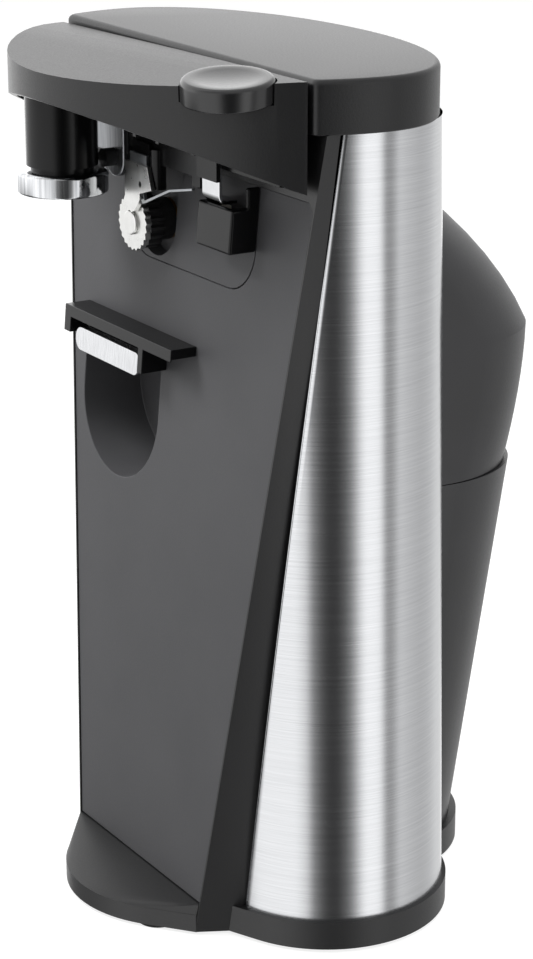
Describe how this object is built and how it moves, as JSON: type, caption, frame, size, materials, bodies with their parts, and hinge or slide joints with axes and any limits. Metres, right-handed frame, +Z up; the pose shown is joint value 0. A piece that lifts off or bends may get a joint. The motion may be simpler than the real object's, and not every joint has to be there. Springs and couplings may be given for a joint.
{
  "type": "electric can opener",
  "caption": "Upright electric can opener with a hinged lever, cutting blade, toothed drive wheel, lid magnet, bottle opener, brushed steel sides and a rear motor hump.",
  "frame": {"origin": "on the surface it stands on, in the middle of its width and depth", "axes": "+Z up, -Y towards the front panel, +X towards the thumb pad's side"},
  "size_m": [0.1426, 0.15, 0.2417],
  "materials": {
    "black_plastic": "satin",
    "housing_plastic": "satin",
    "panel_plastic": "satin",
    "cover_plastic": "satin",
    "pad_plastic": "soft gloss",
    "brushed_steel": "brushed",
    "chrome": "polished",
    "bright_steel": "ground",
    "zinc_steel": "zinc plated",
    "core_steel": "dull",
    "magnet": "matt",
    "rubber": "matt",
    "white_plastic": "moulded",
    "bronze": "sintered",
    "copper": "enamelled wire",
    "stone": "fine grit"
  },
  "bodies": {
    "housing": {"front_housing": "housing_plastic", "front_panel": "panel_plastic", "mechanism_plate": "panel_plastic", "guide_block": "black_plastic", "opener_bracket": "black_plastic", "opener_plate": "bright_steel", "steel_panel_right": "brushed_steel", "steel_panel_left": "brushed_steel", "rear_housing": "cover_plastic", "rear_lower_cover": "cover_plastic", "rear_top_cover": "black_plastic", "base_plate": "housing_plastic", "rubber_feet": "rubber", "base_screws": "zinc_steel", "cord_grommet": "housing_plastic", "cord_clamp": "white_plastic", "sharpener_insert": "housing_plastic", "sharpener_spindle": "zinc_steel", "gear_plate_front": "zinc_steel", "gear_plate_rear": "zinc_steel", "gear_pillars": "zinc_steel", "gear_screws": "zinc_steel", "drive_bushes": "bronze", "housing_screws": "zinc_steel", "gear_pins": "zinc_steel", "stator_core": "core_steel", "coil_bobbin": "white_plastic", "motor_coil": "copper", "motor_bracket_front": "zinc_steel", "motor_bracket_rear": "zinc_steel", "motor_bushes": "bronze", "motor_screws": "zinc_steel", "switch_body": "black_plastic", "plunger_spring": "zinc_steel", "lever_pivot_pin": "zinc_steel", "pivot_clip": "black_plastic"},
    "lever": {"lever_cover": "black_plastic", "lever_frame": "black_plastic", "pivot_hub": "bright_steel", "cutting_blade": "bright_steel", "blade_screw": "zinc_steel", "rim_guide": "zinc_steel", "guide_tongue": "chrome", "magnet_post": "black_plastic", "magnet_cup": "chrome", "magnet_disc": "magnet", "thumb_pad": "pad_plastic", "lever_screws": "zinc_steel"},
    "drive": {"drive_wheel": "bright_steel", "drive_collar": "black_plastic", "drive_shaft": "zinc_steel", "wheel_nut": "bright_steel", "output_gear": "white_plastic"},
    "second_wheel": {"second_gear": "white_plastic"},
    "first_wheel": {"first_gear": "white_plastic"},
    "rotor": {"motor_rotor": "core_steel", "motor_pinion": "bronze", "motor_fan": "white_plastic"},
    "plunger": {"switch_plunger": "white_plastic"},
    "sharpening_stones": {"sharpener_wheels": "stone"}
  },
  "joints": [
    {"name": "lever_hinge", "type": "hinge", "parent": "housing", "child": "lever", "pos_m": [-0.0234, -0.038, 0.2074], "axis": [0, -1, 0], "range_deg": [0, 30]},
    {"name": "motor_spin", "type": "hinge", "parent": "housing", "child": "rotor", "pos_m": [-0.00003, 0.02, 0.14075], "axis": [0, 1, 0], "continuous": true},
    {"name": "first_gear_spin", "type": "hinge", "parent": "housing", "child": "first_wheel", "pos_m": [-0.00607, -0.005, 0.16049], "axis": [0, 1, 0], "continuous": true},
    {"name": "second_gear_spin", "type": "hinge", "parent": "housing", "child": "second_wheel", "pos_m": [0.00807, -0.009, 0.17735], "axis": [0, 1, 0], "continuous": true},
    {"name": "drive_wheel_spin", "type": "hinge", "parent": "housing", "child": "drive", "pos_m": [-0.012, -0.04, 0.1914], "axis": [0, 1, 0], "continuous": true},
    {"name": "switch_plunger_press", "type": "slide", "parent": "housing", "child": "plunger", "axis": [0, 0, -1], "range_m": [0, 0.0012], "stiffness_N_per_m": 200, "springref_m": -0.002, "deforming": ["plunger_spring"]},
    {"name": "sharpening_stones_spin", "type": "hinge", "parent": "housing", "child": "sharpening_stones", "pos_m": [0, 0.04985, 0.17002], "axis": [1, 0, 0], "continuous": true}
  ],
  "couplings": [
    {"joint": "first_gear_spin", "follows": "motor_spin", "ratio": -0.22917},
    {"joint": "second_gear_spin", "follows": "motor_spin", "ratio": 0.057292},
    {"joint": "drive_wheel_spin", "follows": "motor_spin", "ratio": -0.016584}
  ]
}
